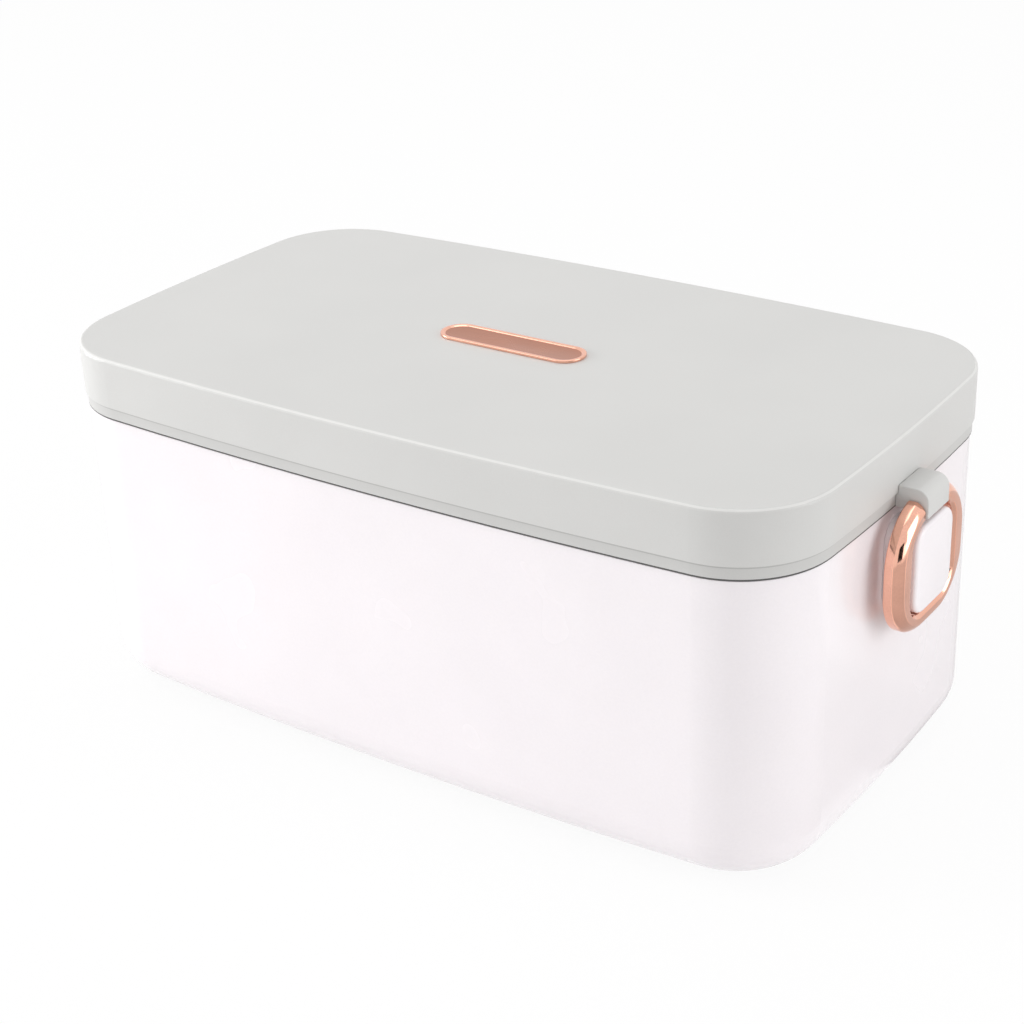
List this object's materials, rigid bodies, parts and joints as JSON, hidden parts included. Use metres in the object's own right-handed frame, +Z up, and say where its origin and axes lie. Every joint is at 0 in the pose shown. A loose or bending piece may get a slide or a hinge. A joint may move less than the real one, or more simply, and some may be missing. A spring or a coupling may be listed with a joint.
{
  "type": "electric lunch box",
  "caption": "Plug-in heated lunch box: bowed white body, lift-off grey lid held by metal ring latches at both ends, steel food containers in a heated water pan.",
  "frame": {"origin": "centre of the box that bounds the part, on the plane that its feet stand on", "axes": "+X along the length towards the end seen on the right, +Z up, the long front side faces -Y and the power inlet is in the +Y side"},
  "size_m": [0.2846, 0.15, 0.1213],
  "materials": {
    "white_body": "gloss",
    "grey_lid": "satin",
    "grey_band": "satin",
    "dark_plastic": "satin",
    "black_plastic": "satin",
    "rubber": "matte",
    "seal_silicone": "matte",
    "rose_silicone": "matte",
    "screw_steel": "satin",
    "steel": "satin",
    "clamp_steel": "satin",
    "heater_metal": "satin",
    "phenolic": "matte",
    "ceramic": "matte",
    "pin_brass": "satin",
    "red_lens": "gloss",
    "board": "satin",
    "lead_sleeve": "matte",
    "rose_metal": "polished",
    "cap_plastic": "satin"
  },
  "bodies": {
    "base": {"body_shell": "white_body", "base_cover": "dark_plastic", "base_screws": "screw_steel", "rubber_feet": "rubber", "collar_ring": "grey_band", "water_pan": "steel", "heating_element": "heater_metal", "heater_clamp": "clamp_steel", "clamp_nuts": "screw_steel", "thermostat": "phenolic", "thermal_cutout": "ceramic", "power_inlet": "black_plastic", "inlet_pins": "pin_brass", "indicator_lens": "red_lens", "indicator_board": "board", "internal_leads": "lead_sleeve", "catch_right": "white_body", "catch_left": "white_body", "catch_screws": "screw_steel"},
    "lid": {"lid_cover": "grey_lid", "lid_liner": "grey_band", "lid_seal": "seal_silicone", "lid_screws": "screw_steel", "badge_plate": "rose_metal", "hook_right": "grey_lid", "hook_left": "grey_lid"},
    "ring_right": {"latch_ring_right": "rose_metal"},
    "ring_left": {"latch_ring_left": "rose_metal"},
    "tub_right": {"container_right": "steel"},
    "tub_left": {"container_left": "steel"},
    "cap_right": {"container_lid_right": "cap_plastic", "container_seal_right": "rose_silicone", "vent_plug_right": "rose_silicone"},
    "cap_left": {"container_lid_left": "cap_plastic", "container_seal_left": "rose_silicone", "vent_plug_left": "rose_silicone"}
  },
  "joints": [
    {"name": "lid_lift", "type": "slide", "parent": "base", "child": "lid", "axis": [0, 0, 1], "range_m": [0, 0.42]},
    {"name": "latch_right_swing", "type": "hinge", "parent": "lid", "child": "ring_right", "pos_m": [0.1383, 0, 0.10035], "axis": [0, -1, 0], "range_deg": [0, 115]},
    {"name": "latch_left_swing", "type": "hinge", "parent": "lid", "child": "ring_left", "pos_m": [-0.1383, 0, 0.10035], "axis": [0, 1, 0], "range_deg": [0, 115]},
    {"name": "container_right_lift", "type": "slide", "parent": "base", "child": "tub_right", "axis": [0, 0, 1], "range_m": [0, 0.189]},
    {"name": "container_left_lift", "type": "slide", "parent": "base", "child": "tub_left", "axis": [0, 0, 1], "range_m": [0, 0.189]},
    {"name": "container_lid_right_lift", "type": "slide", "parent": "tub_right", "child": "cap_right", "axis": [0, 0, 1], "range_m": [0, 0.084]},
    {"name": "container_lid_left_lift", "type": "slide", "parent": "tub_left", "child": "cap_left", "axis": [0, 0, 1], "range_m": [0, 0.084]}
  ],
  "couplings": [
    {"joint": "container_right_lift", "follows": "lid_lift", "ratio": 0.45},
    {"joint": "container_left_lift", "follows": "lid_lift", "ratio": 0.45},
    {"joint": "container_lid_right_lift", "follows": "lid_lift", "ratio": 0.2},
    {"joint": "container_lid_left_lift", "follows": "lid_lift", "ratio": 0.2}
  ]
}
